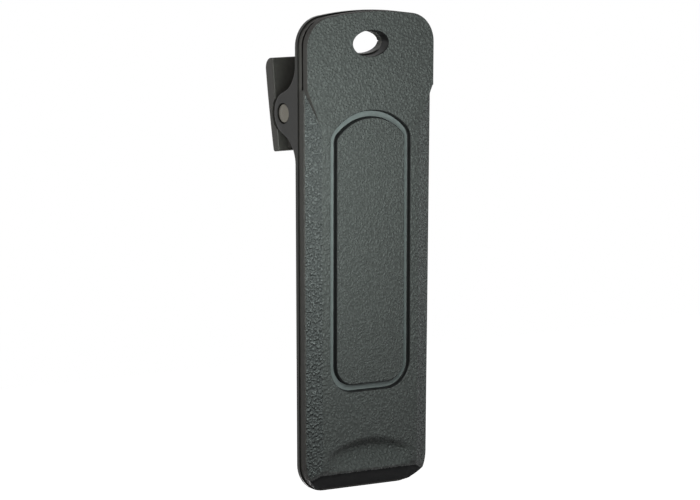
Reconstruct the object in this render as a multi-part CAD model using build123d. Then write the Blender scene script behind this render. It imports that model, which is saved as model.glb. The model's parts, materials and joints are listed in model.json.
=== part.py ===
"""Spring belt clip for a hand-held radio: a sprung lever pinned to a mounting bracket.

The origin is the centre of the face that lies on the radio. X runs across the clip, +Y points
into the radio and +Z up. The lever is drawn in its own frame, with the hinge pin at the origin,
Y from its front to its back and Z up along it, and is then leaned onto the bracket.
All sizes are in millimetres, and all angles in degrees.
"""
from build123d import *
import os
from math import acos, asin, atan2, cos, degrees, hypot, pi, radians, sin, sqrt

# Lever, front view
crown_reach = 20.36             # pin to the highest point of the head
foot_reach = 76.2               # pin to the tip
head_width = 30.64
foot_width = 29.45
crown_radius = 67.0
head_corner_radius = 6.0
foot_corner_radius = 5.7

# Lever, from back to front
pin_to_back = 4.13              # pin to the lever's back face
band_thickness = 1.16           # edge band of the rear moulding
shadow_gap = 0.98               # sunk line between the two mouldings
shadow_depth = 0.7
cover_thickness = 2.6
back_edge_radius = 0.45         # round the lever's back and both ears

# Front moulding
front_edge_radius = 0.25
cover_foot_corner_radius = 6.2
head_rim_thickness = 1.46       # the sunk line starts this far back round the head
facet_width = 3.35
facet_depth = 1.35
facet_top_outer = 5.1           # height of the facet's slanted end wall at the side
facet_top_inner = -2.6          # and at its inner end
foot_chamfer_rise = 4.1
foot_chamfer_land = 0.5

# Oval lanyard slot through the head
slot_length = 8.5
slot_height = 5.2
slot_rise = 13.95               # pin to the slot's centre
slot_edge_radius = 0.3
rear_slot_length = 9.5          # same slot in the rear moulding
rear_slot_height = 5.2

# Sunk line round the front panel
panel_width = 19.2
panel_top = 0.55
panel_foot = -56.0
panel_crown_radius = 12.0
panel_head_corner_radius = 3.6
panel_foot_corner_radius = 5.5
panel_line_width = 1.45
panel_line_depth = 1.1

# Thumb scoop above the foot: the cap of an ellipsoid
scoop_rise = 6.0                # foot to the scoop's middle
scoop_half_height = 4.6
scoop_end_margin = 1.75         # scoop to the facet at either end
scoop_depth = 1.1
scoop_roundness = 0.25          # share of the ellipsoid's depth that is sunk
scoop_edge_radius = 0.5

# Stakes that hold the front moulding to the rear one
stake_rows = (14.5, -24.0, -64.0)
stake_spread = 22.0             # left stake to right stake
stake_radius = 1.1
stake_head_radius = 1.8
stake_head_thickness = 0.7
stake_head_chamfer = 0.35
stake_sink = 0.2                # head below the back face
stake_clearance = 0.1

# Flutes that core out the lever's back
flute_count = 3
flute_pitch = 6.0
flute_width = 4.0
flute_depth = 0.9
flute_top = -14.0
flute_foot = -66.0

# Ears on the rear moulding
ear_thickness = 2.3             # at the pin
ear_reach = 3.47                # pin to the ear's nose
ear_nose_radius = 4.42
ear_root = 6.1                  # where each flank would meet the lever's back
ear_root_radius = 6.0
ear_side_clearance = 0.3

# Hinge pin
pin_radius = 1.8
pin_running_clearance = 0.05
pin_seat_clearance = 0.02
pin_end_sink = 0.02
pin_dome = 0.18
pin_dimple_radius = 0.28
pin_dimple_depth = 0.15
counterbore_radius = 2.1
counterbore_depth = 0.7

# Mounting bracket
pin_standoff = 5.56             # radio's face to the pin
pin_drop = 1.9                  # pin below the middle of the plate
tip_clearance = 0.25            # closed tip to the radio's face
plate_inset = 0.2               # plate's side inside the ear's
plate_height = 18.75
plate_thickness = 2.6
rim_width = 3.0                 # relieved strip down each side of the plate
rim_foot_relief = 0.93          # rim's back off the radio at its foot
rim_bulge = 0.2                 # rim's back is this much proud of straight
rim_head_round = 2.1            # rim's upper back corner
rim_foot_round = 0.6
plate_edge_radius = 0.3
ear_relief_radius = 4.3         # hollow in the plate behind each ear
knuckle_thickness = 3.0
knuckle_radius = 3.1
stop_top = -4.2                 # stop toes, along the lever's back
stop_foot = -6.8
stop_clearance = 0.2
screw_hole_radius = 1.65
screw_spacing = 13.0
screw_rise = 4.6                # above the middle of the plate

# Torsion springs
wire_radius = 0.5
wire_sides = 8                  # flats that stand for the round wire
spring_mean_radius = 2.4
spring_whole_turns = 3
spring_pitch = 1.35
spring_leg = 8.2
spring_side_clearance = 0.5
spring_seat_clearance = 0.1
spring_seat_width = 2.4
spring_seat_top = 9.0
spring_seat_foot = 2.6

cutter_margin = 1.0             # how far cutting bodies run past what they cut

back_y = -pin_to_back
band_y = back_y - band_thickness
joint_y = band_y - shadow_gap
front_y = joint_y - cover_thickness
lever_thickness = back_y - front_y

lever_tilt = degrees(
    asin((pin_standoff - tip_clearance) / hypot(foot_reach, pin_to_back))
    + atan2(pin_to_back, foot_reach)
)
lever_place = Location((0, -pin_standoff, -pin_drop), (lever_tilt, 0, 0))


def arc_drop(radius, half_chord):
    """How far an arc falls from its crown to the ends of a chord."""
    return radius - sqrt(radius**2 - half_chord**2)


def plan(y):
    """Plane of a front view at depth y, whose extrusions grow towards the front."""
    return Plane.XZ.offset(-y)


def side_x(z):
    """Half-width of the tapered lever at height z."""
    shoulder = crown_reach - arc_drop(crown_radius, head_width / 2)
    share = (z + foot_reach) / (shoulder + foot_reach)
    return (foot_width + share * (head_width - foot_width)) / 2


def crowned_face(top, foot, top_width, width_at_foot, radius, top_corner, foot_corner):
    """Upright panel shape with an arched top and rounded corners."""
    half_top, half_foot = top_width / 2, width_at_foot / 2
    shoulder = top - arc_drop(radius, half_top)
    corners = [(half_top, shoulder), (half_foot, foot), (-half_foot, foot), (-half_top, shoulder)]
    edges = Curve() + [
        Polyline(*corners),
        ThreePointArc(corners[-1], (0, top), corners[0]),
    ]
    face = make_face(edges)
    face = fillet(face.vertices().group_by(Axis.Y)[-1], top_corner)
    return fillet(face.vertices().group_by(Axis.Y)[0], foot_corner)


def lever_face(inset=0.0, foot_corner=foot_corner_radius):
    """Front view of the lever, or the same drawn in by an inset."""
    face = crowned_face(
        crown_reach, -foot_reach, head_width, foot_width,
        crown_radius, head_corner_radius, foot_corner,
    )
    return offset(face, -inset) if inset else face


def slab(face, back, thickness):
    """A front-view face given a thickness towards the front, from the depth back."""
    return extrude(plan(back) * face, thickness)


def side_prism(face, x_low, x_high):
    """A side-view face (Y, Z) extruded from one x to another."""
    return extrude(Plane.YZ.offset(x_low) * face, x_high - x_low)


def both_sides(piece):
    """A body and its mirror image across the middle of the clip."""
    return [piece, mirror(piece, about=Plane.YZ)]


def lanyard_slot(length, height):
    """Cutter for the oval lanyard slot, longer than the lever is thick."""
    face = Pos(0, slot_rise) * Ellipse(length / 2, height / 2)
    return slab(face, back_y + cutter_margin, lever_thickness + 2 * cutter_margin)


def slot_mouth(part, y):
    """Edges of the lanyard slot in the flat face at depth y."""
    return part.edges().filter_by_position(Axis.Y, y, y).filter_by(
        lambda edge: edge.length < head_width
    ).sort_by_distance((0, y, slot_rise))[:1]


def head_undercut():
    """Cutter that carries the sunk line further forward round the head."""
    ring = lever_face(-cutter_margin) - lever_face(shadow_depth)
    depth = cover_thickness - head_rim_thickness
    cutter = slab(ring, joint_y + cutter_margin, depth + cutter_margin)
    head = Pos(0, 0, facet_top_outer + head_width / 2) * Box(2 * head_width, head_width, head_width)
    return cutter & head


def facet_cutter():
    """Wedge that slopes the right side of the front down to the edge band."""
    overrun = cutter_margin / facet_width

    def corner(share, depth_share, z):
        return (
            side_x(z) - facet_width * (1 - share),
            front_y + facet_depth * depth_share,
            z,
        )

    def section(height_at):
        inner, outer = -overrun, 1 + overrun
        corners = [
            corner(inner, inner, height_at(inner)),
            corner(outer, outer, height_at(outer)),
            corner(outer, inner, height_at(outer)),
        ]
        return Face(Wire.make_polygon(corners, close=True))

    rise = facet_top_outer - facet_top_inner
    top = section(lambda share: facet_top_inner + share * rise)
    foot = section(lambda share: -foot_reach - cutter_margin)
    return loft([foot, top], ruled=True)


def foot_chamfer_cutter():
    """Wedge that slopes the front down to the tip."""
    run = foot_chamfer_rise - foot_chamfer_land
    slope = run / cover_thickness
    low_z = -foot_reach + foot_chamfer_land
    points = [
        (front_y - cutter_margin, low_z + run + slope * cutter_margin),
        (joint_y + cutter_margin, low_z - slope * cutter_margin),
        (front_y - cutter_margin, low_z - slope * cutter_margin),
    ]
    half = foot_width
    return side_prism(make_face(Polyline(*points, close=True)), -half, half)


def panel_line():
    """Cutter for the sunk line round the panel."""
    outer = crowned_face(
        panel_top, panel_foot, panel_width, panel_width, panel_crown_radius,
        panel_head_corner_radius, panel_foot_corner_radius,
    )
    ring = outer - offset(outer, -panel_line_width)
    return slab(ring, front_y + panel_line_depth, panel_line_depth + cutter_margin)


def thumb_scoop():
    """Cutter for the scoop: the sunk end of an ellipsoid that stands before the face."""
    centre = scoop_rise - foot_reach
    half_length = side_x(centre) - facet_width - scoop_end_margin
    half_depth = scoop_depth / scoop_roundness
    spread = 1 / sqrt(1 - (1 - scoop_roundness) ** 2)
    ball = scale(Sphere(1), by=(half_length * spread, half_depth, scoop_half_height * spread))
    return Pos(0, front_y + scoop_depth - half_depth, centre) * ball


def scoop_rim(part):
    """Edge where the scoop breaks the front face."""
    return part.edges().filter_by_position(Axis.Y, front_y, front_y).sort_by_distance(
        (0, front_y, scoop_rise - foot_reach)
    )[:1]


def stake_spots():
    """Centres (x, z) of the stakes, row by row."""
    return [(side * stake_spread / 2, z) for z in stake_rows for side in (-1, 1)]


def stake():
    """One stake as it is after its end is melted into a head, along Y from the joint."""
    seat = joint_y + shadow_gap + band_thickness - stake_sink - stake_head_thickness
    post = slab(Circle(stake_radius), seat, seat - joint_y)
    head = slab(Circle(stake_head_radius), seat + stake_head_thickness, stake_head_thickness)
    head = chamfer(head.edges().group_by(Axis.Y)[-1], stake_head_chamfer)
    return post + head


def front_cover():
    """Grained front moulding with its facets, panel line, slot, scoop and stakes."""
    body = slab(lever_face(foot_corner=cover_foot_corner_radius), joint_y, cover_thickness)
    body = fillet(body.edges().group_by(Axis.Y)[0], front_edge_radius)
    for wedge in both_sides(facet_cutter()):
        body -= wedge
    body -= thumb_scoop()
    body = fillet(scoop_rim(body), scoop_edge_radius)
    body -= foot_chamfer_cutter()
    body -= lanyard_slot(slot_length, slot_height)
    body = fillet(slot_mouth(body, front_y), slot_edge_radius)
    body -= panel_line()
    body -= head_undercut()
    for x, z in stake_spots():
        body += Pos(x, 0, z) * stake()
    return body


def ear_face():
    """Side view (Y, Z) of an ear: round nose and straight flanks that flare into the lever."""
    centre = ear_reach - ear_nose_radius
    run, rise = centre - back_y, ear_root
    turn = acos(ear_nose_radius / hypot(run, rise)) + atan2(rise, run)
    touch_y = centre - ear_nose_radius * cos(turn)
    touch_z = ear_nose_radius * sin(turn)
    root_y = back_y - band_thickness / 2
    end = ear_root + ear_root_radius
    web = make_face(Polyline(
        (root_y, end), (back_y, end), (back_y, ear_root), (touch_y, touch_z),
        (touch_y, -touch_z), (back_y, -ear_root), (back_y, -end), (root_y, -end), close=True,
    ))
    flares = [web.vertices().sort_by_distance((back_y, side * ear_root, 0))[0] for side in (-1, 1)]
    web = fillet(flares, ear_root_radius)
    return web + Pos(centre, 0) * Circle(ear_nose_radius)


def ear_inner_x():
    """Inner face of the right ear."""
    return side_x(0) - ear_thickness


def back_outline(part):
    """Outer edges of the lever's back, with those of the ears that run on from them."""
    def on_outline(edge):
        centre = edge.center()
        at_side = abs(centre.X) > side_x(centre.Z) - back_edge_radius
        at_head = centre.Z > crown_reach - head_corner_radius
        at_foot = centre.Z < foot_corner_radius - foot_reach
        return centre.Y > back_y - back_edge_radius and (at_side or at_head or at_foot)

    return part.edges().filter_by(on_outline)


def lever_frame():
    """Smooth rear moulding: edge band, raised land, ears, flutes and spring seats."""
    band = slab(lever_face(), back_y, band_thickness)
    land = slab(lever_face(shadow_depth), band_y, shadow_gap)
    body = band + land

    ear = side_prism(ear_face(), ear_inner_x(), head_width)
    depth = ear_reach + pin_to_back
    ear &= slab(lever_face(), back_y + depth + cutter_margin, depth + band_thickness + cutter_margin)
    for side in both_sides(ear):
        body += side
    body = fillet(back_outline(body), back_edge_radius)

    seat_height = pin_to_back - spring_mean_radius - wire_radius - spring_seat_clearance
    seat = Box(spring_seat_width, seat_height, spring_seat_top - spring_seat_foot)
    seat = Pos(lever_leg_x(), back_y + seat_height / 2, (spring_seat_top + spring_seat_foot) / 2) * seat
    for side in both_sides(seat):
        body += side

    flute = Pos(0, (flute_top + flute_foot) / 2) * SlotOverall(
        flute_top - flute_foot, flute_width, rotation=90
    )
    for index in range(flute_count):
        x = (index - (flute_count - 1) / 2) * flute_pitch
        body -= slab(Pos(x, 0) * flute, back_y + cutter_margin, flute_depth + cutter_margin)

    body -= lanyard_slot(rear_slot_length, rear_slot_height)
    body = fillet(slot_mouth(body, back_y), slot_edge_radius)
    bore = Cylinder(pin_radius + pin_seat_clearance, 2 * head_width, rotation=(0, 90, 0))
    counterbore = Cylinder(counterbore_radius, counterbore_depth + cutter_margin, rotation=(0, 90, 0))
    counterbore_x = side_x(0) - counterbore_depth + (counterbore_depth + cutter_margin) / 2
    body -= bore
    for side in both_sides(Pos(counterbore_x, 0, 0) * counterbore):
        body -= side
    for x, z in stake_spots():
        body -= stake_hole(x, z)
    return body


def stake_hole(x, z):
    """Cutter for a stake's hole and the counterbore that its head sits in."""
    spot = Pos(x, z)
    depth = stake_sink + stake_head_thickness
    through = slab(
        spot * Circle(stake_radius + stake_clearance), back_y + cutter_margin,
        lever_thickness + cutter_margin,
    )
    recess = slab(
        spot * Circle(stake_head_radius + stake_clearance), back_y + cutter_margin,
        depth + cutter_margin,
    )
    return through + recess


def hinge_pin():
    """Pin from ear to ear, domed at both ends, with a centre mark in each."""
    crest = side_x(0) - pin_end_sink

    def domed(radius):
        return (crest - pin_dome * (radius / pin_radius) ** 2, radius)

    profile = make_face(Curve() + [
        Polyline((crest - pin_dimple_depth, 0), (0, 0), (0, pin_radius), domed(pin_radius)),
        ThreePointArc(domed(pin_radius), domed(pin_radius / 2), domed(pin_dimple_radius)),
        Line(domed(pin_dimple_radius), (crest - pin_dimple_depth, 0)),
    ])
    half = revolve(profile, Axis.X)
    return half + mirror(half, about=Plane.YZ)


def knuckle_inner_x():
    """Inner face of the right knuckle."""
    return ear_inner_x() - ear_side_clearance - knuckle_thickness


def knuckle_face():
    """Side view of a knuckle in the lever's frame: round nose, web and stop toe."""
    plate_y = (pin_standoff - plate_thickness / 2) / cos(radians(lever_tilt))
    toe_y = back_y + stop_clearance
    drift = sin(radians(lever_tilt)) * plate_y
    web = make_face(Polyline(
        (0, knuckle_radius), (plate_y, knuckle_radius - drift), (plate_y, stop_foot - drift),
        (toe_y, stop_foot), (toe_y, stop_top), (0, -knuckle_radius), close=True,
    ))
    return web + Circle(knuckle_radius)


def plate_side_face():
    """Side view (Y, Z) of the plate's rim: back edge relieved towards the foot."""
    half = plate_height / 2
    head, foot = (0, half), (-rim_foot_relief, -half)
    face = make_face(Curve() + [
        Polyline(foot, (-plate_thickness, -half), (-plate_thickness, half), head),
        ThreePointArc(head, (rim_bulge - rim_foot_relief / 2, 0), foot),
    ])
    face = fillet(face.vertices().sort_by_distance((0, half, 0))[0], rim_head_round)
    return fillet(face.vertices().sort_by_distance((0, -half, 0))[0], rim_foot_round)


def mounting_bracket():
    """Plate that lies on the radio, with knuckles for the pin and stops for the lever."""
    half_width = side_x(0) - plate_inset
    plate = side_prism(plate_side_face(), -half_width, half_width)
    pad_width = 2 * (half_width - rim_width)
    pad = Pos(0, -plate_thickness / 2, 0) * Box(pad_width, plate_thickness, plate_height)
    body = plate + pad
    body = fillet(body.edges().group_by(Axis.Y)[0], plate_edge_radius)

    hollow = Pos(0, -pin_standoff, -pin_drop) * Cylinder(
        ear_relief_radius, half_width, rotation=(0, 90, 0)
    )
    hollow_x = ear_inner_x() - ear_side_clearance + half_width / 2
    for side in both_sides(Pos(hollow_x, 0, 0) * hollow):
        body -= side

    inner = knuckle_inner_x()
    knuckle = lever_place * side_prism(knuckle_face(), inner, inner + knuckle_thickness)
    for side in both_sides(knuckle):
        body += side
    bore = Cylinder(pin_radius + pin_running_clearance, 2 * half_width, rotation=(0, 90, 0))
    body -= Pos(0, -pin_standoff, -pin_drop) * bore

    hole = slab(
        Pos(screw_spacing / 2, screw_rise) * Circle(screw_hole_radius),
        cutter_margin, plate_thickness + 2 * cutter_margin,
    )
    for side in both_sides(hole):
        body -= side
    return body


def spring_start_x():
    """Centre line of the bracket leg, at the inner end of the left spring."""
    coil = spring_pitch * (spring_whole_turns + (180 - lever_tilt) / 360)
    return -(knuckle_inner_x() - spring_side_clearance - wire_radius - coil)


def lever_leg_x():
    """Where the right spring's leg, which leans out with the coil's pitch, crosses its seat."""
    lean = spring_pitch / (2 * pi * spring_mean_radius)
    coil_end = knuckle_inner_x() - spring_side_clearance - wire_radius
    return coil_end + lean * (spring_seat_top + spring_seat_foot) / 2


def torsion_spring_left():
    """Left spring: one leg up the plate, the coil round the pin, one leg up the lever."""
    turns = spring_whole_turns + (180 - lever_tilt) / 360
    coil = Helix(spring_pitch, spring_pitch * turns, spring_mean_radius)
    start, end = coil @ 0, coil @ 1
    plate_leg = Line(start - (coil % 0) * spring_leg, start)
    lever_leg = Line(end, end + (coil % 1) * spring_leg)
    path = Wire([plate_leg.edge(), coil.edge(), lever_leg.edge()])
    section = Plane(plate_leg @ 0, z_dir=plate_leg % 0) * RegularPolygon(wire_radius, wire_sides)
    spring = sweep(section, path, is_frenet=True)
    seat = Plane((spring_start_x(), -pin_standoff, -pin_drop), x_dir=(0, 1, 0), z_dir=(-1, 0, 0))
    return seat * spring


def torsion_spring_right():
    """Right spring, the mirror image of the left one."""
    return mirror(torsion_spring_left(), about=Plane.YZ)


nodes = {
    "front_cover": lever_place * front_cover(),
    "lever_frame": lever_place * lever_frame(),
    "hinge_pin": lever_place * hinge_pin(),
    "mounting_bracket": mounting_bracket(),
    "torsion_spring_left": torsion_spring_left(),
    "torsion_spring_right": torsion_spring_right(),
}

os.makedirs("parts", exist_ok=True)
for name, shape in nodes.items():
    shape.label = name
    export_step(shape, os.path.join("parts", name + ".step"))
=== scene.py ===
"""Studio scene and finishes of a sprung belt clip for a hand-held radio.

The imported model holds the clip's sizes and its hinge. This script loads it as a fixed frame,
dresses its pieces in their real finishes and sets them before a plain white studio.
Lengths are in millimetres and are turned to metres where an object is made.
"""

import json
import logging
import math
from collections.abc import Sequence
from dataclasses import dataclass, field
from enum import Enum
from functools import cached_property

import bmesh
import bpy
from mathutils import Matrix, Vector

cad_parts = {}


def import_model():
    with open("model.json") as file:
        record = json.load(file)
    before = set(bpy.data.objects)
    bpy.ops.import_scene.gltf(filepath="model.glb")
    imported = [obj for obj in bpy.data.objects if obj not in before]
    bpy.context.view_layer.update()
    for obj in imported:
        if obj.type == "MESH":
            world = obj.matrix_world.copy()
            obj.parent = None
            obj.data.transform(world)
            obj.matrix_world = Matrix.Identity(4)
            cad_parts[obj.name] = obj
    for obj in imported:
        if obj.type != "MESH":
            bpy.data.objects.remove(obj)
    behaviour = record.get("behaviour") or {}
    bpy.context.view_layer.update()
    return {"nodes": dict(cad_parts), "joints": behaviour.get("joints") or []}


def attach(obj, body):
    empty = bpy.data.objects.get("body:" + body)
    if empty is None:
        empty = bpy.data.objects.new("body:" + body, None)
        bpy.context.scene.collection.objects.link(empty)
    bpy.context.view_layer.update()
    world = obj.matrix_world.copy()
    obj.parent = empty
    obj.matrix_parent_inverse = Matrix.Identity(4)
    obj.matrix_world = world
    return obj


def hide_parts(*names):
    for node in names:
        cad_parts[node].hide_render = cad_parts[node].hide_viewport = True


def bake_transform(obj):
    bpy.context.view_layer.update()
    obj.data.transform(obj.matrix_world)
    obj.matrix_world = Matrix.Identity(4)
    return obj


LOG = logging.getLogger("belt_clip")
MM = 0.001
MERGE_DISTANCE = 0.002          # corners closer than this are one
WHITE = "ffffff"
NOISE_SPAN = (0.3, 0.7)         # most values of a noise texture lie in here
WIDE_NOISE_SPAN = (0.25, 0.75)  # and nearly all in here
WAVE_PERIOD = 0.3               # between two rings of a wave texture at a scale of 1


def linear(hex_colour: str) -> tuple[float, float, float, float]:
    """Turn an sRGB hex colour into linear light.

    Args:
        hex_colour: Six hex digits, such as "4a4d4c".

    Returns:
        Red, green, blue and an alpha of 1.
    """
    channels = [int(hex_colour[start:start + 2], 16) / 255 for start in (0, 2, 4)]
    light = [c / 12.92 if c <= 0.04045 else ((c + 0.055) / 1.055) ** 2.4 for c in channels]
    return (light[0], light[1], light[2], 1.0)


def add_node(tree: bpy.types.NodeTree, kind: str, settings: dict | None = None,
             links: dict | None = None) -> bpy.types.Node:
    """Add a shader node, set it up and link its inputs.

    Args:
        tree: Node tree to add to.
        kind: Node type, such as "ShaderNodeBump".
        settings: Node properties, or input values where the name is an input's.
        links: Output sockets by the name or number of the input that each feeds.

    Returns:
        The new node.
    """
    node = tree.nodes.new(kind)
    for name, value in (settings or {}).items():
        if isinstance(name, str) and hasattr(node, name):
            setattr(node, name, value)
        else:
            node.inputs[name].default_value = value
    for name, socket in (links or {}).items():
        tree.links.new(socket, node.inputs[name])
    return node


def spans(source: tuple[float, float], target: tuple[float, float]) -> dict[str, float]:
    """Name the ends of two ranges as a node does that maps one to the other.

    Args:
        source: Low and high value of what comes in.
        target: Value at each of them of what goes out.

    Returns:
        The four input values by name.
    """
    return {"From Min": source[0], "From Max": source[1], "To Min": target[0], "To Max": target[1]}


def around(middle: float, spread: float) -> tuple[float, float]:
    """Range that reaches as far below a value as above it."""
    return (middle - spread, middle + spread)


def add_object(name: str, data: bpy.types.ID) -> bpy.types.Object:
    """Make an object and link it to the scene.

    Args:
        name: Object's name.
        data: Mesh, lamp or camera that the object shows.

    Returns:
        The new object, at the origin.
    """
    made = bpy.data.objects.new(name, data)
    bpy.context.scene.collection.objects.link(made)
    return made


def finished_mesh(name: str, body: bmesh.types.BMesh) -> bpy.types.Mesh:
    """Turn an edited body into a mesh and let go of the body.

    Args:
        name: Mesh's name.
        body: The edited body.

    Returns:
        The mesh.
    """
    mesh = bpy.data.meshes.new(name)
    body.to_mesh(mesh)
    body.free()
    return mesh


@dataclass(frozen=True)
class LeverFrame:
    """The lever's own frame: pin at the origin, Y from front to back, Z up along the lever."""

    pin_y: float
    pin_z: float
    lean: float = math.radians(7.0924)
    front_y: float = -8.87          # the flat face, in the lever's frame

    @classmethod
    def on_hinge(cls, joints: list[dict]) -> "LeverFrame":
        """Take the pin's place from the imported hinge.

        Args:
            joints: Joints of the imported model.

        Returns:
            The lever's frame.
        """
        hinge = next(joint for joint in joints if joint["name"] == "lever_hinge")
        _, pin_y, pin_z = hinge["pos_m"]
        return cls(pin_y / MM, pin_z / MM)

    @cached_property
    def place(self) -> Matrix:
        """Matrix from lever millimetres to the clip's metres."""
        pin = Matrix.Translation((0, self.pin_y * MM, self.pin_z * MM))
        return pin @ Matrix.Rotation(self.lean, 4, "X") @ Matrix.Scale(MM, 4)

    @cached_property
    def back(self) -> Matrix:
        """Matrix from the clip's metres to lever millimetres."""
        return self.place.inverted()

    @cached_property
    def turn(self) -> Matrix:
        """Rotation from the lever's axes to the clip's."""
        return self.place.to_3x3().normalized()

    @cached_property
    def turn_back(self) -> Matrix:
        """Rotation from the clip's axes to the lever's."""
        return self.back.to_3x3().normalized()

    def look(self, face: bmesh.types.BMFace) -> tuple[Vector, Vector]:
        """Centre and normal of a face in the lever's frame."""
        return self.back @ face.calc_center_median(), self.turn_back @ face.normal


@dataclass(frozen=True)
class CameraRig:
    """Camera to the left of the clip, looking slightly down on the lever's face."""

    yaw: float = math.radians(33.95)
    elevation: float = math.radians(7.74)
    roll: float = math.radians(0.11)
    distance: float = 800.0
    aim: tuple[float, float, float] = (-5.024, -8.87, -27.2)
    lens: float = 206.02
    sensor: float = 36.0
    nearest: float = 10.0           # of what the camera draws
    farthest: float = 20000.0

    def build(self, lever: LeverFrame) -> bpy.types.Object:
        """Create the camera and make it the scene's own.

        Args:
            lever: Frame that the angles and the aim are given in.

        Returns:
            The camera object.
        """
        sine, cosine = math.sin(self.yaw), math.cos(self.yaw)
        forward = Vector((sine * math.cos(self.elevation), cosine * math.cos(self.elevation),
                          -math.sin(self.elevation)))
        level = Vector((cosine, -sine, 0))
        upright = level.cross(forward)
        right = level * math.cos(self.roll) + upright * math.sin(self.roll)
        upward = upright * math.cos(self.roll) - level * math.sin(self.roll)
        position = Vector(self.aim) - forward * self.distance
        turn = Matrix.Rotation(lever.lean, 3, "X")
        axes = Matrix((turn @ right, turn @ upward, turn @ -forward)).transposed()
        data = bpy.data.cameras.new("studio_camera")
        data.sensor_width = self.sensor
        data.lens = self.lens
        data.clip_start, data.clip_end = self.nearest * MM, self.farthest * MM
        camera = add_object("studio_camera", data)
        camera.matrix_world = Matrix.Translation(lever.place @ position) @ axes.to_4x4()
        bpy.context.scene.camera = camera
        return camera


@dataclass(frozen=True)
class Softbox:
    """One square soft lamp of the studio."""

    name: str
    spot: tuple[float, float, float]
    aim: tuple[float, float, float]
    side: float
    watts: float
    colour: str = WHITE

    def build(self) -> None:
        """Hang the lamp and point it; a lamp behind the clip isn't mirrored in its edges."""
        data = bpy.data.lights.new(self.name, "AREA")
        data.shape = "SQUARE"
        data.size = self.side * MM
        data.energy = self.watts
        data.color = linear(self.colour)[:3]
        lamp = add_object(self.name, data)
        lamp.visible_camera = False
        lamp.visible_glossy = self.spot[1] < 0
        lamp.location = Vector(self.spot) * MM
        direction = Vector(self.aim) - Vector(self.spot)
        lamp.rotation_euler = direction.to_track_quat("-Z", "Y").to_euler()


@dataclass(frozen=True)
class Studio:
    """White floor and backdrop with soft lamps; the camera sees both as plain white."""

    floor_z: float = -260.0
    floor_size: float = 6000.0
    floor_colour: str = "3c3c3c"    # as a source of light
    floor_glow: float = 0.45        # of the floor that is seen near the clip, where 1 is white
    lit_radius: float = 350.0       # floor inside this is lit by the lamps and that glow
    white_radius: float = 1100.0    # floor outside this is plain white
    world_strength: float = 0.09    # as a source of light
    lamps: tuple[Softbox, ...] = (
        Softbox("key_softbox", (-28, -66, -17), (0, -10, -14), 60, 0.066, "f4fffc"),
        Softbox("left_softbox", (-260, -100, 60), (0, -5, -20), 160, 0.2),
        Softbox("right_softbox", (300, -40, 60), (0, -5, -20), 160, 0.05),
        Softbox("back_softbox", (160, 420, -60), (0, 0, -20), 300, 6.0),
    )

    def build(self) -> None:
        """Make the world, the floor and the lamps."""
        self._world()
        self._floor()
        for lamp in self.lamps:
            lamp.build()

    @staticmethod
    def _by_ray(tree: bpy.types.NodeTree, light: bpy.types.NodeSocket,
                seen: bpy.types.NodeSocket) -> bpy.types.NodeSocket:
        """Join the shader that lights the clip and the one that is seen.

        Args:
            tree: Node tree to add to.
            light: Shader for the rays that carry light to the clip.
            seen: Shader for the rays that see it directly, mirrored or through something.

        Returns:
            The joined shader.
        """
        path = add_node(tree, "ShaderNodeLightPath")
        direct = add_node(tree, "ShaderNodeMath", {"operation": "MAXIMUM"},
                          {0: path.outputs["Is Camera Ray"], 1: path.outputs["Is Transmission Ray"]})
        either = add_node(tree, "ShaderNodeMath", {"operation": "MAXIMUM"},
                          {0: direct.outputs[0], 1: path.outputs["Is Glossy Ray"]})
        joined = add_node(tree, "ShaderNodeMixShader", {}, {0: either.outputs[0], 1: light, 2: seen})
        return joined.outputs[0]

    def _world(self) -> None:
        """White where it is seen, softer as a source of light."""
        world = bpy.data.worlds.new("white_studio")
        bpy.context.scene.world = world
        world.use_nodes = True
        tree = world.node_tree
        tree.nodes.clear()
        light = add_node(tree, "ShaderNodeBackground",
                         {"Color": linear(WHITE), "Strength": self.world_strength})
        seen = add_node(tree, "ShaderNodeBackground", {"Color": linear(WHITE), "Strength": 1.0})
        add_node(tree, "ShaderNodeOutputWorld", {},
                 {"Surface": self._by_ray(tree, light.outputs[0], seen.outputs[0])})

    def _floor(self) -> None:
        """Pale floor well under the clip, which takes its shadow."""
        sheet = bmesh.new()
        bmesh.ops.create_grid(sheet, x_segments=1, y_segments=1, size=self.floor_size * MM / 2)
        bmesh.ops.translate(sheet, verts=sheet.verts, vec=(0, 0, self.floor_z * MM))
        mesh = finished_mesh("studio_floor", sheet)
        mesh.materials.append(self._floor_paper())
        floor = add_object("studio_floor", mesh)

    def _floor_paper(self) -> bpy.types.Material:
        """Matt white backdrop paper: shadows near the clip, plain white further off.

        Returns:
            The floor's material.
        """
        material = bpy.data.materials.new("white_floor")
        material.use_nodes = True
        tree = material.node_tree
        tree.nodes.clear()
        light = add_node(tree, "ShaderNodeBsdfDiffuse", {"Color": linear(self.floor_colour)})
        paper = add_node(tree, "ShaderNodeBsdfDiffuse", {"Color": linear(WHITE)})
        place = add_node(tree, "ShaderNodeTexCoord").outputs["Object"]
        away = add_node(tree, "ShaderNodeVectorMath", {"operation": "LENGTH"}, {0: place})
        radii = (self.lit_radius * MM, self.white_radius * MM)
        fade = add_node(tree, "ShaderNodeMapRange",
                        {"interpolation_type": "SMOOTHSTEP", **spans(radii, (self.floor_glow, 1.0))},
                        {"Value": away.outputs["Value"]})
        glow = add_node(tree, "ShaderNodeEmission", {"Color": linear(WHITE)},
                        {"Strength": fade.outputs[0]})
        seen = add_node(tree, "ShaderNodeAddShader", {}, {0: paper.outputs[0], 1: glow.outputs[0]})
        add_node(tree, "ShaderNodeOutputMaterial", {},
                 {"Surface": self._by_ray(tree, light.outputs[0], seen.outputs[0])})
        return material


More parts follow.
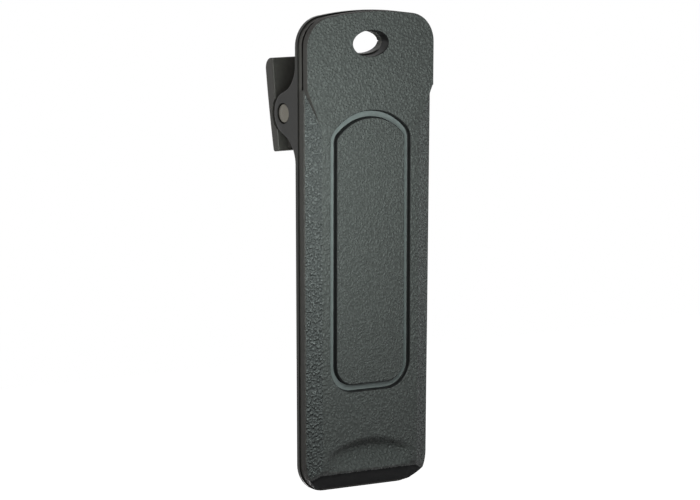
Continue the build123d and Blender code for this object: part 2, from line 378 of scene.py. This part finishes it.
@dataclass(frozen=True)
class Finish:
    """A surface as it leaves the tool, drawn on object coordinates."""

    name: str

    def constants(self) -> dict[str, object]:
        """Values that the shader takes as they are, by the name of its input."""
        return {}

    def draw(self, tree: bpy.types.NodeTree,
             place: bpy.types.NodeSocket) -> dict[str, bpy.types.NodeSocket]:
        """Draw the surface's patterns.

        Args:
            tree: Material's node tree.
            place: Object coordinates.

        Returns:
            What feeds the shader, by the name of its input.
        """
        raise NotImplementedError

    def build(self) -> bpy.types.Material:
        """Make the material.

        Returns:
            The material, under the finish's own name.
        """
        material = bpy.data.materials.new(self.name)
        material.use_nodes = True
        tree = material.node_tree
        shader = tree.nodes["Principled BSDF"]
        place = add_node(tree, "ShaderNodeTexCoord").outputs["Object"]
        for name, value in self.constants().items():
            shader.inputs[name].default_value = value
        for name, socket in self.draw(tree, place).items():
            tree.links.new(socket, shader.inputs[name])
        return material


@dataclass(frozen=True)
class GrainedNylon(Finish):
    """Glass-filled nylon moulded against a spark-eroded steel face with an etched leather grain.

    The eye gets low pebbles with painted shade in their seams, painted highlights on their tops and a
    soft, broken sheen.
    """

    colour: str = "4b4e4c"
    roughness: float = 0.5
    gloss_spread: float = 0.08
    sheen: float = 0.25             # specular level: the etched grain scatters most of it
    grain: float = 0.54             # size of one pebble
    swell: float = 0.7              # swells of the pebbles' outlines in one grain
    wander: float = 0.3             # how far those outlines stray
    softness: float = 0.45          # of the seams
    flank: tuple[float, float] = (0.1, 0.75)        # where a pebble's top ends and its seam begins
    height: float = 0.2
    seam_painted_shade: float = 0.7            # painted shade in the seams
    top_painted_highlight: float = 1.15             # painted highlight on the pebbles' tops
    pit: float = 0.14               # of the spark erosion, whose real pits of 0.03 wouldn't show
    pit_depth: float = 0.35         # share of the pebbles' height

    def constants(self) -> dict[str, object]:
        """Specular level alone."""
        return {"Specular IOR Level": self.sheen}

    def draw(self, tree: bpy.types.NodeTree,
             place: bpy.types.NodeSocket) -> dict[str, bpy.types.NodeSocket]:
        """Draw pebbles with uneven outlines, and pits over them.

        Args:
            tree: Material's node tree.
            place: Object coordinates.

        Returns:
            What feeds the shader, by the name of its input.
        """
        stray = add_node(tree, "ShaderNodeTexNoise",
                         {"Scale": self.swell / (self.grain * MM), "Detail": 2.0}, {"Vector": place})
        offset = add_node(tree, "ShaderNodeVectorMath", {"operation": "SUBTRACT", 1: (0.5, 0.5, 0.5)},
                          {0: stray.outputs["Color"]})
        # an offset reaches half a unit either way, so twice the length makes it stray that far
        push = add_node(tree, "ShaderNodeVectorMath",
                        {"operation": "SCALE", "Scale": self.wander * MM * 2}, {0: offset.outputs[0]})
        moved = add_node(tree, "ShaderNodeVectorMath", {"operation": "ADD"},
                         {0: place, 1: push.outputs[0]})
        pebbles = add_node(tree, "ShaderNodeTexVoronoi",
                           {"feature": "SMOOTH_F1", "Scale": 1 / (self.grain * MM),
                            "Smoothness": self.softness}, {"Vector": moved.outputs[0]})
        rise = add_node(tree, "ShaderNodeMapRange",
                        {"interpolation_type": "SMOOTHSTEP", **spans(self.flank, (1.0, 0.0))},
                        {"Value": pebbles.outputs["Distance"]})
        pits = add_node(tree, "ShaderNodeTexNoise", {"Scale": 1 / (self.pit * MM), "Detail": 3.0},
                        {"Vector": place})
        relief = add_node(tree, "ShaderNodeMath", {"operation": "MULTIPLY_ADD", 1: self.pit_depth},
                          {0: pits.outputs["Fac"], 2: rise.outputs[0]})
        bump = add_node(tree, "ShaderNodeBump", {"Strength": 1.0, "Distance": self.height * MM},
                        {"Height": relief.outputs[0]})
        # painted shade in the seams and painted highlight on the pebbles' tops, multiplied into the
        # colour
        shade = add_node(tree, "ShaderNodeMapRange", spans((0.0, 1.0), (self.seam_painted_shade, self.top_painted_highlight)),
                         {"Value": rise.outputs[0]})
        tint = add_node(tree, "ShaderNodeVectorMath",
                        {"operation": "SCALE", 0: linear(self.colour)[:3]}, {"Scale": shade.outputs[0]})
        gloss = add_node(tree, "ShaderNodeMapRange",
                         spans(NOISE_SPAN, around(self.roughness, self.gloss_spread)),
                         {"Value": pits.outputs["Fac"]})
        return {"Base Color": tint.outputs[0], "Roughness": gloss.outputs[0], "Normal": bump.outputs[0]}


@dataclass(frozen=True)
class SmoothNylon(Finish):
    """Glass-filled nylon moulded against a blasted or draw-polished steel face.

    The eye gets an even face with a faint mottle where the melt flowed.
    """

    colour: str
    roughness: float
    gloss_spread: float = 0.05
    sheen: float = 0.3              # specular level
    mottle: float = 0.9             # size of the mottle
    mottle_spread: float = 0.12     # how much it shades
    ripple: float = 0.004           # depth of the blasting's texture
    grit: float = 0.12              # size of that texture, whose real 0.05 wouldn't show

    def constants(self) -> dict[str, object]:
        """Specular level alone."""
        return {"Specular IOR Level": self.sheen}

    def draw(self, tree: bpy.types.NodeTree,
             place: bpy.types.NodeSocket) -> dict[str, bpy.types.NodeSocket]:
        """Draw the flow's mottle and the blasting's texture.

        Args:
            tree: Material's node tree.
            place: Object coordinates.

        Returns:
            What feeds the shader, by the name of its input.
        """
        cloud = add_node(tree, "ShaderNodeTexNoise", {"Scale": 1 / (self.mottle * MM), "Detail": 4.0},
                         {"Vector": place})
        fine = add_node(tree, "ShaderNodeTexNoise", {"Scale": 1 / (self.grit * MM), "Detail": 2.0},
                        {"Vector": place})
        shade = add_node(tree, "ShaderNodeMapRange",
                         spans(WIDE_NOISE_SPAN, around(1.0, self.mottle_spread)),
                         {"Value": cloud.outputs["Fac"]})
        tint = add_node(tree, "ShaderNodeVectorMath",
                        {"operation": "SCALE", 0: linear(self.colour)[:3]}, {"Scale": shade.outputs[0]})
        gloss = add_node(tree, "ShaderNodeMapRange",
                         spans(NOISE_SPAN, around(self.roughness, self.gloss_spread)),
                         {"Value": cloud.outputs["Fac"]})
        bump = add_node(tree, "ShaderNodeBump", {"Strength": 1.0, "Distance": self.ripple * MM},
                        {"Height": fine.outputs["Fac"]})
        return {"Base Color": tint.outputs[0], "Roughness": gloss.outputs[0], "Normal": bump.outputs[0]}


@dataclass(frozen=True)
class TurnedSteel(Finish):
    """Steel pin parted off on a lathe and tumbled.

    The eye gets a dull pale disc with faint rings round its middle.
    """

    name: str = "steel_turned"
    colour: str = "6e6b63"
    roughness: float = 0.42
    gloss_spread: float = 0.1
    ring_pitch: float = 0.16        # feed of the parting tool
    ring_depth: float = 0.01
    ring_strength: float = 0.6      # what the tumbling left of the rings
    ring_waver: float = 1.2
    dulling: float = 0.5            # size of the patches that the tumbling dulled
    lever: LeverFrame = field(kw_only=True)         # the rings run round its pin

    def constants(self) -> dict[str, object]:
        """Colour and metal."""
        return {"Base Color": linear(self.colour), "Metallic": 1.0}

    def draw(self, tree: bpy.types.NodeTree,
             place: bpy.types.NodeSocket) -> dict[str, bpy.types.NodeSocket]:
        """Draw rings round the pin's axis, and the dulled patches.

        Args:
            tree: Material's node tree.
            place: Object coordinates.

        Returns:
            What feeds the shader, by the name of its input.
        """
        axis = (0, self.lever.pin_y * MM, self.lever.pin_z * MM)
        centred = add_node(tree, "ShaderNodeVectorMath", {"operation": "SUBTRACT", 1: axis}, {0: place})
        rings = add_node(tree, "ShaderNodeTexWave",
                         {"wave_type": "RINGS", "rings_direction": "X",
                          "Scale": WAVE_PERIOD / (self.ring_pitch * MM),
                          "Distortion": self.ring_waver, "Detail": 2.0},
                         {"Vector": centred.outputs[0]})
        bump = add_node(tree, "ShaderNodeBump",
                        {"Strength": self.ring_strength, "Distance": self.ring_depth * MM},
                        {"Height": rings.outputs["Fac"]})
        cloud = add_node(tree, "ShaderNodeTexNoise", {"Scale": 1 / (self.dulling * MM), "Detail": 3.0},
                         {"Vector": place})
        gloss = add_node(tree, "ShaderNodeMapRange",
                         spans(NOISE_SPAN, around(self.roughness, self.gloss_spread)),
                         {"Value": cloud.outputs["Fac"]})
        return {"Roughness": gloss.outputs[0], "Normal": bump.outputs[0]}


@dataclass(frozen=True)
class SpringWire(Finish):
    """Drawn and oil-tempered spring wire.

    The eye gets dark bright steel with dull patches of temper scale.
    """

    name: str = "steel_spring_wire"
    colour: str = "77736c"
    gloss: tuple[float, float] = (0.26, 0.46)       # roughness of bare wire and of scale
    scale: float = 0.4              # size of a patch of scale

    def constants(self) -> dict[str, object]:
        """Colour and metal."""
        return {"Base Color": linear(self.colour), "Metallic": 1.0}

    def draw(self, tree: bpy.types.NodeTree,
             place: bpy.types.NodeSocket) -> dict[str, bpy.types.NodeSocket]:
        """Draw the patches of scale.

        Args:
            tree: Material's node tree.
            place: Object coordinates.

        Returns:
            What feeds the shader, by the name of its input.
        """
        patches = add_node(tree, "ShaderNodeTexNoise", {"Scale": 1 / (self.scale * MM), "Detail": 4.0},
                           {"Vector": place})
        gloss = add_node(tree, "ShaderNodeMapRange", spans(NOISE_SPAN, self.gloss),
                         {"Value": patches.outputs["Fac"]})
        return {"Roughness": gloss.outputs[0]}


def merged_copy(node: bpy.types.Object) -> bmesh.types.BMesh:
    """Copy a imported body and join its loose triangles.

    Args:
        node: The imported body.

    Returns:
        The copy, ready to be edited.
    """
    body = bmesh.new()
    body.from_mesh(node.data)
    bmesh.ops.remove_doubles(body, verts=body.verts, dist=MERGE_DISTANCE * MM)
    return body


def moulded_shell(name: str, body: bmesh.types.BMesh, finishes: Sequence[Finish],
                  shading_angle: float) -> bpy.types.Object:
    """Shade a moulding whose faces know their slots, and put it in the scene.

    Args:
        name: Piece's name.
        body: The edited moulding.
        finishes: Finish of each material slot.
        shading_angle: Edges that turn more than this stay sharp.

    Returns:
        The piece; beside its rounded edges the flat faces stay flat.
    """
    for face in body.faces:
        face.smooth = True
    for edge in body.edges:
        edge.smooth = edge.is_manifold and edge.calc_face_angle(math.pi) < shading_angle
    mesh = finished_mesh(name, body)
    for finish in finishes:
        mesh.materials.append(finish.build())
    shell = add_object(name, mesh)
    flat = shell.modifiers.new("flat_faces_stay_flat", "WEIGHTED_NORMAL")
    flat.keep_sharp = True
    return shell


@dataclass(frozen=True)
class ThumbScoop:
    """Thumb scoop above the foot: a steep upper wall that eases out to the foot's chamfer."""

    lever: LeverFrame
    half_length: float = 10.2
    middle_rise: float = 6.8        # chamfer to the scoop's brow, at the middle
    end_rise: float = 3.9           # and at either end
    depth: float = 1.9
    wall_share: float = 0.36        # share of the height that the upper wall takes
    chamfer_top: float = -72.1
    chamfer_slope: float = 2.6 / 3.6
    facet_edge: float = 11.4        # where the side facets leave the flat face
    facet_slope: float = 0.4
    ease: float = 0.9               # blend between the chamfer and what is above it
    margin: float = 1.0             # of fine mesh above the brow
    pitch: float = 0.25             # size of the mesh that carries the form
    cut_tolerance: float = 0.0001   # corners closer than this to a cut aren't cut off
    face_skin: float = 1.95         # how deep the face's own forms go
    least_facing: float = 0.3       # how far a face of the front looks to the front

    def hollow(self, x: float, z: float) -> float:
        """Depth of the scoop alone at a place on the face.

        Args:
            x: Place across the lever.
            z: Place along the lever.

        Returns:
            Depth below the face.
        """
        across = min(1.0, abs(x) / self.half_length)
        rise = self.middle_rise + (self.end_rise - self.middle_rise) * across ** 2
        down = (self.chamfer_top + rise - z) / rise
        if not 0 < down < 1:
            return 0.0
        if down < self.wall_share:
            share = down / self.wall_share
            fall = share * share * (3 - 2 * share)
        else:
            share = (1 - down) / (1 - self.wall_share)
            fall = share * (2 - share)
        return self.depth * fall * (1 - across ** 3)

    def sink(self, x: float, z: float) -> float:
        """Depth below the face of the foot's whole form.

        Args:
            x: Place across the lever.
            z: Place along the lever.

        Returns:
            Depth of scoop, facet and chamfer together, eased where the chamfer begins.
        """
        above = max(self.hollow(x, z), (abs(x) - self.facet_edge) * self.facet_slope)
        chamfer = (self.chamfer_top - z) * self.chamfer_slope
        blend = max(0.0, self.ease - abs(above - chamfer))
        return max(above, chamfer) + blend * blend / (4 * self.ease)

    def _is_front(self, face: bmesh.types.BMFace, brow: float) -> bool:
        """Tell whether a face is part of the front and reaches below the brow.

        Args:
            face: Face of the moulding.
            brow: Height of the brow, in the lever's frame.

        Returns:
            Whether the scoop's mesh needs the face.
        """
        centre, normal = self.lever.look(face)
        lowest = min((self.lever.back @ vert.co).z for vert in face.verts)
        return (centre.y < self.lever.front_y + self.face_skin and lowest < brow
                and normal.y < -self.least_facing)

    def _split(self, body: bmesh.types.BMesh, faces: list[bmesh.types.BMFace], axis: Vector,
               values: Sequence[float]) -> list[bmesh.types.BMFace]:
        """Cut faces at each of several places along an axis.

        Args:
            body: The merged moulding.
            faces: Faces to cut.
            axis: Unit axis of the lever's frame.
            values: Places along that axis.

        Returns:
            The faces that the cuts left.
        """
        for value in values:
            corners = {vert for face in faces for vert in face.verts}
            geom = faces + list({edge for face in faces for edge in face.edges} | corners)
            cut = bmesh.ops.bisect_plane(body, geom=geom, dist=self.cut_tolerance * MM,
                                         plane_co=self.lever.place @ (axis * value),
                                         plane_no=self.lever.turn @ axis)
            faces = [item for item in cut["geom"] if isinstance(item, bmesh.types.BMFace)]
        return faces

    def carve(self, body: bmesh.types.BMesh) -> None:
        """Cut the foot of the face into a fine grid and sink it to the scoop's form.

        Args:
            body: The merged moulding.
        """
        lever = self.lever
        brow = self.chamfer_top + self.middle_rise + self.margin
        across, along = Vector((1, 0, 0)), Vector((0, 0, 1))
        front = [face for face in body.faces if self._is_front(face, brow)]
        cut = self._split(body, front, along, [brow])
        faces = [face for face in cut if lever.look(face)[0].z < brow]
        spots = [lever.back @ vert.co for face in faces for vert in face.verts]
        foot, side = min(spot.z for spot in spots), max(spot.x for spot in spots)
        rows = math.floor((brow - foot) / self.pitch)
        faces = self._split(body, faces, along, [brow - row * self.pitch for row in range(1, rows)])
        columns = math.floor(side / self.pitch)
        steps = range(-columns, columns + 1)
        faces = self._split(body, faces, across, [step * self.pitch for step in steps])
        for vert in {vert for face in faces for vert in face.verts}:
            spot = lever.back @ vert.co
            sunk = lever.front_y + self.sink(spot.x, spot.z)
            spot.y = sunk if abs(spot.x) < self.half_length else max(spot.y, sunk)
            vert.co = lever.place @ spot
        bmesh.ops.triangulate(body, faces=[face for face in body.faces if len(face.verts) > 4])
        body.normal_update()


class CoverFace(Enum):
    """Kinds of surface on the front moulding, in the order of its material slots."""

    SMOOTH = 0
    FACE = 1
    PANEL = 2
    FACET = 3
    LINE = 4
    CHAMFER = 5
    WALL = 6
    EASE = 7


@dataclass(frozen=True)
class CoverMap:
    """Where each kind of surface lies on the front moulding.

    A face is told by its centre and normal, where a value of 1 means that it looks straight
    to the front, to the side or down.
    """

    lever: LeverFrame
    scoop: ThumbScoop
    panel_half_width: float = 8.9   # inside the sunk line's outer edge
    panel_foot: float = -55.0
    panel_head: float = 0.0
    line_side: float = 1.2          # reach of the line past the panel, to the side
    line_foot: float = 1.5          # and below it
    line_head: float = 1.0          # and above it
    line_depth: float = 1.1
    line_rounding: float = 0.4      # depth at which its floor begins
    depth_margin: float = 0.05
    cover_skin: float = 1.95        # anything deeper is not the face
    slot_half_length: float = 4.6
    slot_margin: float = 0.28
    slot_foot: float = 10.5
    slot_head: float = 17.5
    least_half_width: float = 14.0  # of the outline, between the foot's corners and the head's
    level: float = 0.8              # a floor or a face looks to the front at least this much
    upright: float = 0.5            # a side looks to the front less than this
    facet_sideways: float = 0.3
    facet_side: float = 1.0         # a facet lies at least this far past the panel
    ease_down: float = 0.2
    chamfer_down: float = 0.42
    chamfer_facing: float = 0.3

    def kind(self, face: bmesh.types.BMFace) -> CoverFace:
        """Say what kind of surface a face belongs to.

        Args:
            face: Face of the moulding.

        Returns:
            The kind of surface.
        """
        centre, normal = self.lever.look(face)
        depth = centre.y - self.lever.front_y
        facing, aside = -normal.y, abs(centre.x)
        level = facing > self.level
        by_line = (aside < self.panel_half_width + self.line_side
                   and self.panel_foot - self.line_foot < centre.z < self.line_head)
        in_slot = (aside < self.slot_half_length + self.slot_margin
                   and self.slot_foot < centre.z < self.slot_head)
        if by_line and level and self.line_rounding < depth < self.line_depth + self.depth_margin:
            return CoverFace.LINE
        if (in_slot or by_line and depth < self.line_depth) and not level:
            return CoverFace.WALL
        at_foot = centre.z < self.scoop.chamfer_top + self.scoop.ease
        if at_foot and -normal.z > self.ease_down and facing > self.chamfer_facing:
            return CoverFace.CHAMFER if -normal.z > self.chamfer_down else CoverFace.EASE
        if facing < self.upright or depth > self.cover_skin or not level and self.on_outline(centre):
            return CoverFace.SMOOTH
        if abs(normal.x) > self.facet_sideways and aside > self.panel_half_width + self.facet_side:
            return CoverFace.FACET
        if aside < self.panel_half_width and self.panel_foot < centre.z < self.panel_head:
            return CoverFace.PANEL
        return CoverFace.FACE

    def on_outline(self, spot: Vector) -> bool:
        """Tell the moulding's outline from the walls where the facets run out.

        Args:
            spot: Place in the lever's frame.

        Returns:
            Whether the place is on the outline.
        """
        beside = abs(spot.x) > self.least_half_width
        return beside or not self.scoop.chamfer_top < spot.z < self.slot_foot


@dataclass(frozen=True)
class FrontCover:
    """Front moulding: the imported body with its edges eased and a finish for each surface."""

    lever: LeverFrame
    scoop: ThumbScoop
    surfaces: CoverMap
    line_root: float = 0.36         # rounding between the line's floor and its walls
    line_edge: float = 0.28         # rounding where the line breaks the face
    rim_edge: float = 0.42          # rounding between face and side
    rounding_steps: int = 3
    slot_clearance: float = 1.0     # between what is rounded and the slot, whose edge is crisp
    rim_angle: float = math.radians(40)             # turn of an edge that is still sharp
    rim_back: float = 0.5           # a face that looks to the back more than this has no rim
    flat_angle: float = math.radians(0.5)           # triangles that turn less than this are one face
    shading_angle: float = math.radians(22)
    finishes: tuple[Finish, ...] = (
        # blasted steel: dull, even sides
        SmoothNylon("nylon_smooth_cover", "454341", 0.55, sheen=0.1),
        # etched steel: low pebbles over the whole face, a little finer inside the panel
        GrainedNylon("nylon_grained_face"),
        GrainedNylon("nylon_grained_panel", grain=0.46),
        # etched deeper on the side facets, where the fingers grip: a lively, coarse sparkle; their
        # paler colour than the face is painted sheen
        GrainedNylon("nylon_grained_facet_painted_sheen", colour="666968", roughness=0.42, sheen=0.15, height=0.55,
                     seam_painted_shade=0.5),
        # a polished rib of the mould, smoother than the face; its paler colour is painted sheen, which
        # makes it the brightest line of the face
        SmoothNylon("nylon_polished_line_painted_sheen", "666c6b", 0.36),
        # blasted steel; its near-black colour is painted shade on the face that looks down
        SmoothNylon("nylon_smooth_chamfer_painted_shade", "121213", 0.55, sheen=0.04),
        # blasted steel; the near-black colour of the sunk line's and the slot's walls is painted shade
        # in those recesses
        SmoothNylon("nylon_smooth_wall_painted_shade", "151515", 0.45, sheen=0.2),
        # where the etching fades out above the chamfer; its darker colour is painted shade easing from
        # the face into the chamfer
        GrainedNylon("nylon_grained_foot_edge_painted_shade", colour="373837", height=0.12),
    )

    @staticmethod
    def _between(edge: bmesh.types.BMEdge, kinds: dict[bmesh.types.BMFace, CoverFace],
                 some: set[CoverFace], other: CoverFace) -> bool:
        """Tell whether an edge lies between two kinds of surface.

        Args:
            edge: Edge of the moulding.
            kinds: Kind of each face.
            some: Kinds that the one side may be.
            other: Kind of the other side.

        Returns:
            Whether both sides are so.
        """
        pair = [kinds[face] for face in edge.link_faces]
        return len(pair) == 2 and other in pair and bool(some & set(pair))

    def soften(self, body: bmesh.types.BMesh) -> None:
        """Round the sunk line's floor, the line's edges on the face and the moulding's rim.

        Args:
            body: The merged moulding.
        """
        back, turn_back, surfaces = self.lever.back, self.lever.turn_back, self.surfaces
        below_slot = surfaces.slot_foot - self.slot_clearance
        kinds = {face: surfaces.kind(face) for face in body.faces}
        root = [edge for edge in body.edges
                if self._between(edge, kinds, {CoverFace.LINE}, CoverFace.WALL)]
        brink = [edge for edge in body.edges
                 if self._between(edge, kinds, {CoverFace.FACE, CoverFace.PANEL}, CoverFace.WALL)
                 and all((back @ vert.co).z < below_slot for vert in edge.verts)]
        fronts = {CoverFace.FACE, CoverFace.FACET, CoverFace.CHAMFER}
        rim = [edge for edge in body.edges
               if self._between(edge, kinds, fronts, CoverFace.SMOOTH)
               and edge.calc_face_angle(0) > self.rim_angle
               and max((turn_back @ face.normal).y for face in edge.link_faces) < self.rim_back
               and all(surfaces.on_outline(back @ vert.co) for vert in edge.verts)]
        for edges, radius in ((root, self.line_root), (brink, self.line_edge), (rim, self.rim_edge)):
            bmesh.ops.bevel(body, geom=edges, offset=radius * MM, offset_type="OFFSET",
                            segments=self.rounding_steps, profile=0.5, affect="EDGES", material=-1,
                            loop_slide=False, clamp_overlap=False)
        body.normal_update()

    def build(self, node: bpy.types.Object) -> bpy.types.Object:
        """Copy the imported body, ease its edges, carve the scoop and hand out the finishes.

        Args:
            node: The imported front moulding.

        Returns:
            The dressed piece.
        """
        body = merged_copy(node)
        bmesh.ops.dissolve_limit(body, angle_limit=self.flat_angle, verts=body.verts, edges=body.edges)
        self.soften(body)
        self.scoop.carve(body)
        for face in body.faces:
            face.material_index = self.surfaces.kind(face).value
        skin = moulded_shell("front_cover_skin", body, self.finishes, self.shading_angle)
        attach(skin, "lever")
        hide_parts("front_cover")
        return skin


class FrameFace(Enum):
    """Kinds of surface on the rear moulding, in the order of its material slots."""

    PLAIN = 0
    BAND = 1


@dataclass(frozen=True)
class RearFrame:
    """Smooth rear moulding of the lever, whose side has a sunk band next to the front moulding."""

    lever: LeverFrame
    band_front: float = 2.6         # sunk band, in depth behind the lever's face
    band_back: float = 3.58
    band_fill: float = 0.35         # how much of the band's depth is filled
    least_sideways: float = 0.5     # a face of the band looks to the front or back less than this
    shading_angle: float = math.radians(30)
    finishes: tuple[Finish, ...] = (
        # blasted steel: satin black
        SmoothNylon("nylon_satin_frame", "1e1d1b", 0.4, sheen=0.28),
        # blasted steel, a little rougher than the frame; its paler colour is painted light that lifts
        # the shade in the sunk band
        SmoothNylon("nylon_satin_band_painted_light", "4e4c49", 0.45),
    )

    def kind(self, face: bmesh.types.BMFace) -> FrameFace:
        """Say what kind of surface a face belongs to.

        Args:
            face: Face of the moulding.

        Returns:
            The kind of surface.
        """
        centre, normal = self.lever.look(face)
        sideways = abs(normal.y) < self.least_sideways
        in_band = self.band_front < centre.y - self.lever.front_y < self.band_back
        return FrameFace.BAND if sideways and in_band else FrameFace.PLAIN

    def build(self, node: bpy.types.Object) -> bpy.types.Object:
        """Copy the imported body, fill part of the sunk band and hand out the finishes.

        Args:
            node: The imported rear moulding.

        Returns:
            The dressed piece.
        """
        body = merged_copy(node)
        for face in body.faces:
            face.material_index = self.kind(face).value
        for vert in body.verts:
            looks = [face.normal for face in vert.link_faces
                     if face.material_index == FrameFace.BAND.value]
            if looks:
                outward = sum(looks, Vector()).normalized()
                bmesh.ops.translate(body, verts=[vert], vec=outward * self.band_fill * MM)
        skin = moulded_shell("lever_frame_skin", body, self.finishes, self.shading_angle)
        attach(skin, "lever")
        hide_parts("lever_frame")
        return skin


class Side(Enum):
    """Side of the clip, by the sign of its X."""

    LEFT = -1
    RIGHT = 1


@dataclass(frozen=True)
class TorsionSpring:
    """Torsion spring wound round the pin, with one leg on the plate and one on the lever."""

    lever: LeverFrame
    wire_radius: float = 0.5
    mean_radius: float = 2.4
    pitch: float = 1.35
    whole_turns: int = 3
    leg: float = 8.2
    start_x: float = -3.905         # leg on the plate, of the left spring
    wire_sides: int = 16
    steps_per_turn: int = 32

    @property
    def turns(self) -> float:
        """Turns of wire between the two legs."""
        return self.whole_turns + 0.5 - self.lever.lean / math.tau

    @staticmethod
    def _draw_out(wire: bmesh.types.BMesh, end: list[bmesh.types.BMFace],
                  travel: Vector) -> list[bmesh.types.BMFace]:
        """Lengthen the wire from its end.

        Args:
            wire: The wire so far.
            end: Face at its end.
            travel: Way from there to the new end.

        Returns:
            Face at the new end.
        """
        drawn = bmesh.ops.extrude_face_region(wire, geom=end)["geom"]
        moved = [item for item in drawn if isinstance(item, bmesh.types.BMVert)]
        bmesh.ops.translate(wire, verts=moved, vec=travel)
        return [item for item in drawn if isinstance(item, bmesh.types.BMFace)]

    def wind(self, side: Side) -> bmesh.types.BMesh:
        """Draw the wire along a leg, round the pin and along the other leg.

        Args:
            side: Side of the clip; the right spring is wound the other way.

        Returns:
            The wire, in its place.
        """
        lean = self.pitch / (math.tau * self.mean_radius)
        wire = bmesh.new()
        start = Vector((self.start_x, self.mean_radius, 0))
        ring = bmesh.ops.create_circle(wire, cap_ends=True, segments=self.wire_sides,
                                       radius=self.wire_radius)
        bmesh.ops.translate(wire, verts=ring["verts"], vec=start + Vector((lean, 0, 1)) * self.leg)
        cap = wire.faces[:]
        front = self._draw_out(wire, cap, Vector((-lean, 0, -1)) * self.leg)
        steps = round(self.turns * self.steps_per_turn)
        coil = bmesh.ops.spin(wire, geom=front, cent=(0, 0, 0), axis=(1, 0, 0),
                              angle=-self.turns * math.tau, steps=steps, use_merge=False,
                              dvec=(-self.pitch * self.turns / steps, 0, 0))
        end = [item for item in coil["geom_last"] if isinstance(item, bmesh.types.BMFace)]
        heading = Matrix.Rotation(self.lever.lean, 3, "X") @ Vector((0, 0, 1))
        self._draw_out(wire, end, (Vector((-lean, 0, 0)) + heading) * self.leg)
        bmesh.ops.delete(wire, geom=cap + front + end, context="FACES_ONLY")
        if side is Side.RIGHT:
            bmesh.ops.scale(wire, verts=wire.verts, vec=(-1, 1, 1))
        bmesh.ops.translate(wire, verts=wire.verts, vec=(0, self.lever.pin_y, self.lever.pin_z))
        bmesh.ops.scale(wire, verts=wire.verts, vec=(MM, MM, MM))
        bmesh.ops.recalc_face_normals(wire, faces=wire.faces)
        for face in wire.faces:
            face.smooth = len(face.verts) == 4
        return wire

    def build(self, name: str, side: Side, finish: bpy.types.Material) -> bpy.types.Object:
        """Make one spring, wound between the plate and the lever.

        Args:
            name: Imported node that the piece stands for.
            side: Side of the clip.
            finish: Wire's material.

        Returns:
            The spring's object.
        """
        mesh = finished_mesh(name + "_wire", self.wind(side))
        mesh.materials.append(finish)
        spring = add_object(name + "_wire", mesh)
        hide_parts(name)
        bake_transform(spring)
        return spring


@dataclass(frozen=True)
class PackedPiece:
    """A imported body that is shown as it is, in one finish."""

    finish: Finish

    def dress(self, node: bpy.types.Object) -> bpy.types.Object:
        """Give the body its finish.

        Args:
            node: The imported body.

        Returns:
            The same body.
        """
        node.data.materials.clear()
        node.data.materials.append(self.finish.build())
        return node


def main() -> None:
    """Load the frame, set the studio and dress the clip piece by piece."""
    logging.basicConfig(level=logging.INFO, format="%(message)s")
    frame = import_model()
    nodes = frame["nodes"]
    lever = LeverFrame.on_hinge(frame["joints"])
    CameraRig().build(lever)
    Studio().build()
    scoop = ThumbScoop(lever)
    cover = FrontCover(lever, scoop, CoverMap(lever, scoop))
    # blasted steel: a satin plate, a tone lighter than the lever's back
    bracket = PackedPiece(SmoothNylon("nylon_satin_bracket", "403e3b", 0.42, sheen=0.22))
    pin = PackedPiece(TurnedSteel(lever=lever))
    spring, wire = TorsionSpring(lever), SpringWire().build()
    pieces = [
        cover.build(nodes["front_cover"]),
        RearFrame(lever).build(nodes["lever_frame"]),
        spring.build("torsion_spring_left", Side.LEFT, wire),
        spring.build("torsion_spring_right", Side.RIGHT, wire),
        bracket.dress(nodes["mounting_bracket"]),
        pin.dress(nodes["hinge_pin"]),
    ]
    for piece in pieces:
        LOG.info("%s: %d faces", piece.name, len(piece.data.polygons))
    bpy.context.scene.view_settings.view_transform = "Standard"


if __name__ == "__main__":
    main()
